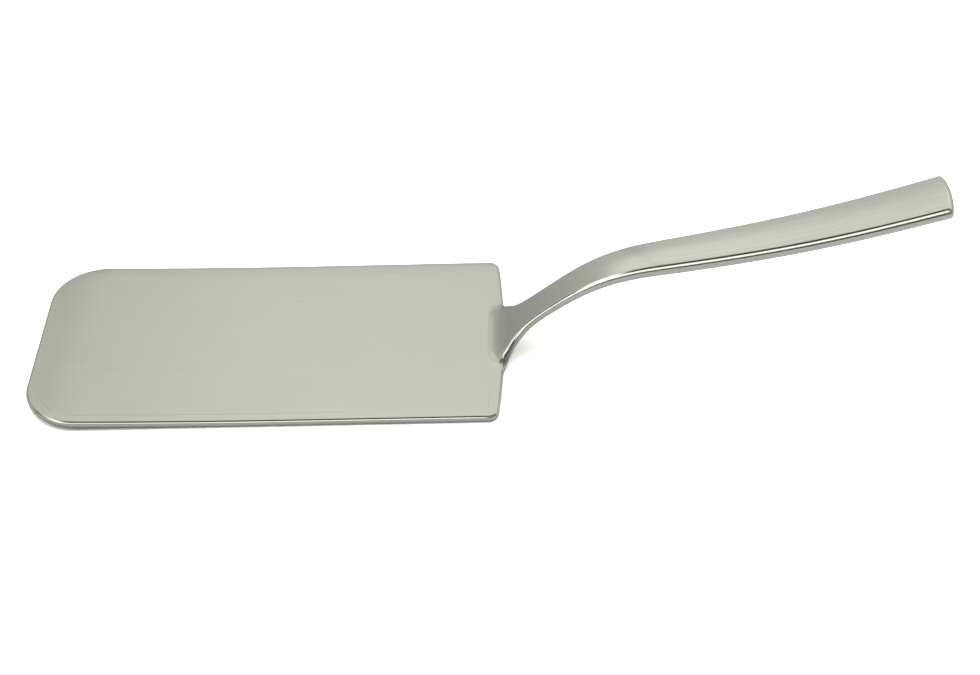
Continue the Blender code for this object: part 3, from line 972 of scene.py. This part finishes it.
def pale_paper():
    """Matt white paper: the eye gets a plain ground with soft shadows."""
    material = bpy.data.materials.new("pale_paper")
    material.use_nodes = True
    tree = material.node_tree
    tree.nodes.clear()
    rays = add_node(tree, "ShaderNodeLightPath").outputs
    level = add_node(tree, "ShaderNodeMix",
                     {"Factor": looking_share(tree, rays, FLOOR_IN_STEEL), 2: FLOOR_GREY,
                      3: FLOOR_WHITE}, data_type="FLOAT").outputs[0]
    place = add_node(tree, "ShaderNodeNewGeometry").outputs["Position"]
    across = add_node(tree, "ShaderNodeSeparateXYZ", {0: place}).outputs["Y"]
    lit = levels_along(tree, across, PAPER_REACH, PAPER_LIT)
    lit = add_node(tree, "ShaderNodeMix", {"Factor": rays["Is Glossy Ray"], 2: 1.0, 3: lit},
                   data_type="FLOAT").outputs[0]
    colour = add_node(tree, "ShaderNodeMath", {0: level, 1: lit}, operation="MULTIPLY")
    diffuse = add_node(tree, "ShaderNodeBsdfDiffuse", {"Color": colour.outputs[0]})
    add_node(tree, "ShaderNodeOutputMaterial", {"Surface": diffuse.outputs[0]})
    return material


def build_floor():
    mesh = bpy.data.meshes.new("floor")
    corners = [(-FLOOR_HALF, -FLOOR_HALF, 0), (FLOOR_HALF, -FLOOR_HALF, 0),
               (FLOOR_HALF, FLOOR_HALF, 0), (-FLOOR_HALF, FLOOR_HALF, 0)]
    mesh.from_pydata(corners, [], [(0, 1, 2, 3)])
    mesh.materials.append(pale_paper())
    floor = bpy.data.objects.new("floor", mesh)
    bpy.context.scene.collection.objects.link(floor)


# Camera, solved from the blade's outline in the photo
CAMERA_PLACE = (0.04809, -0.43505, 0.37260)
CAMERA_ELEVATION = math.radians(40.496)
CAMERA_HEADING = math.radians(1.7117)
CAMERA_ROLL = math.radians(-2.2945)
CAMERA_LENS = 69.351
PICTURE_WIDTH = 980
PICTURE_RISE = 1.4              # pixels
CAMERA_SHIFT = PICTURE_RISE / PICTURE_WIDTH


def build_camera():
    heading, lift, roll = CAMERA_HEADING, CAMERA_ELEVATION, CAMERA_ROLL
    back = Vector((math.sin(heading) * math.cos(lift), -math.cos(heading) * math.cos(lift),
                   math.sin(lift)))
    right = Vector((math.cos(heading), math.sin(heading), 0.0))
    up = back.cross(right)
    rolled_right = right * math.cos(roll) + up * math.sin(roll)
    rolled_up = up * math.cos(roll) - right * math.sin(roll)
    data = bpy.data.cameras.new("camera")
    data.lens = CAMERA_LENS
    data.shift_y = CAMERA_SHIFT
    camera = bpy.data.objects.new("camera", data)
    bpy.context.scene.collection.objects.link(camera)
    turn = Matrix((rolled_right, rolled_up, back)).transposed().to_4x4()
    camera.matrix_world = Matrix.Translation(CAMERA_PLACE) @ turn
    bpy.context.scene.camera = camera


def main():
    bpy.context.scene.view_settings.view_transform = "Standard"
    build_camera()
    build_world()
    build_floor()
    skin = draw_blank()
    blade_steel = polished_stainless("polished_blade_steel", 0.0)
    weld_steel = polished_stainless("ground_weld_steel", WELD_DULLNESS)
    handle_steel = polished_stainless("polished_handle_steel", 0.0)
    formed = bend_blank(blank_mesh(skin), blade_steel)
    for piece, name, node, slot, steel in (
            (BLADE, "blade_skin", "blade", "blade_steel", blade_steel),
            (WELD, "weld_skin", "weld_seam", "weld_steel", weld_steel),
            (HANDLE, "handle_skin", "handle", "handle_steel", handle_steel)):
        item = part_skin(formed, skin, piece, name, steel)
        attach(item, "root")
        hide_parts(node)
    bpy.data.meshes.remove(formed)


main()
